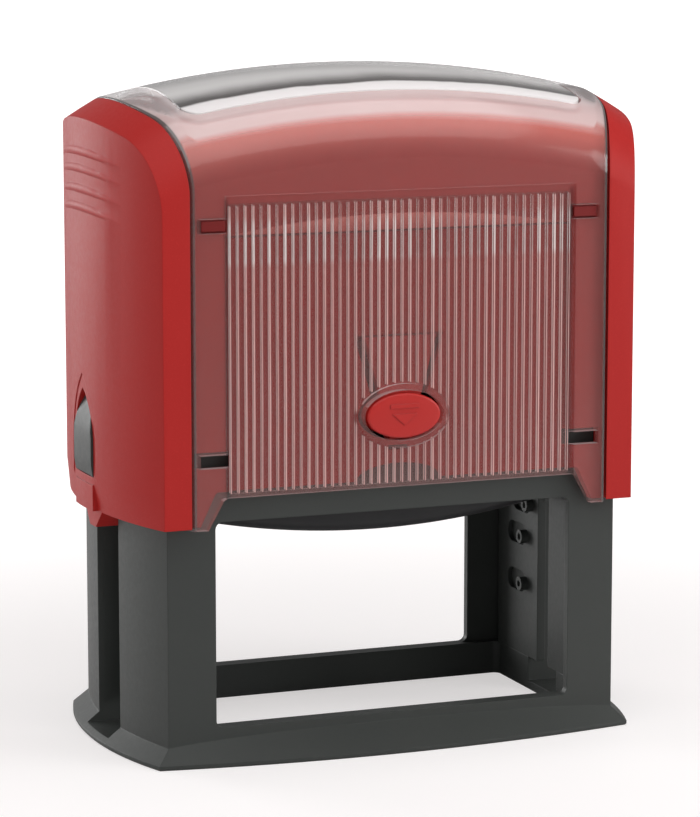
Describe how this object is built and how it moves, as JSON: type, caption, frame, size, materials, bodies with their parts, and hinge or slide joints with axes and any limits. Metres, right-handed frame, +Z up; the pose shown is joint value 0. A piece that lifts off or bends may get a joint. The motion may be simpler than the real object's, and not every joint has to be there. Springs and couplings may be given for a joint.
{
  "type": "self-inking stamp",
  "caption": "Desk stamp with a spring-loaded housing that slides down over an open frame while the text plate flips over from its ink pad to the paper.",
  "frame": {"origin": "middle of the foot, on the surface that the stamp stands on", "axes": "+X along the text plate to the right seen from the front, +Y to the back, +Z up along the press direction"},
  "size_m": [0.1202, 0.0706, 0.143],
  "materials": {
    "dark_grey_plastic": "fine matte texture",
    "black_plastic": "matte",
    "felt": "soaked felt",
    "red_plastic": "fine matte texture",
    "smoky_clear_plastic": "smoky and glossy",
    "clear_plastic": "clear and glossy",
    "white_card": "plain card",
    "steel": "bright wire",
    "foam": "fine-celled foam",
    "plate_rubber": "matte rubber"
  },
  "bodies": {
    "base": {"base_frame": "dark_grey_plastic", "left_cam_guide": "dark_grey_plastic", "right_cam_guide": "dark_grey_plastic", "spring_deck": "dark_grey_plastic", "ink_tray": "black_plastic", "ink_pad": "felt"},
    "housing": {"housing_shell": "red_plastic", "clear_cover": "smoky_clear_plastic", "index_card": "white_card", "spring_cup": "black_plastic", "left_axle_cap": "red_plastic", "right_axle_cap": "red_plastic", "left_side_insert": "dark_grey_plastic", "right_side_insert": "dark_grey_plastic", "return_spring": "steel"},
    "carrier": {"stamp_carrier": "black_plastic", "left_flip_cam": "black_plastic", "right_flip_cam": "black_plastic", "left_axle_pin": "steel", "right_axle_pin": "steel", "mount_cushion": "foam", "text_plate": "plate_rubber"},
    "front_button": {"lock_button_front": "red_plastic"},
    "rear_button": {"lock_button_rear": "red_plastic"},
    "window": {"index_window": "clear_plastic"}
  },
  "joints": [
    {"name": "press", "type": "slide", "parent": "base", "child": "housing", "axis": [0, 0, -1], "range_m": [0, 0.044], "stiffness_N_per_m": 300, "springref_m": -0.02, "deforming": ["return_spring"]},
    {"name": "carrier_flip", "type": "hinge", "parent": "housing", "child": "carrier", "pos_m": [0, 0, 0.0535], "axis": [1, 0, 0], "range_deg": [0, 180]},
    {"name": "front_lock", "type": "hinge", "parent": "housing", "child": "front_button", "pos_m": [0, -0.03, 0.088], "axis": [1, 0, 0], "range_deg": [0, 3.5], "stiffness_Nm_per_rad": 0.08, "springref_deg": -2.86},
    {"name": "rear_lock", "type": "hinge", "parent": "housing", "child": "rear_button", "pos_m": [0, 0.03, 0.088], "axis": [-1, 0, 0], "range_deg": [0, 3.5], "stiffness_Nm_per_rad": 0.08, "springref_deg": -2.86},
    {"name": "window_lift", "type": "slide", "parent": "housing", "child": "window", "axis": [0, 0, 1], "range_m": [0, 0.012]}
  ],
  "couplings": [
    {"joint": "carrier_flip", "follows": "press", "rad_per_m": 71.399}
  ]
}
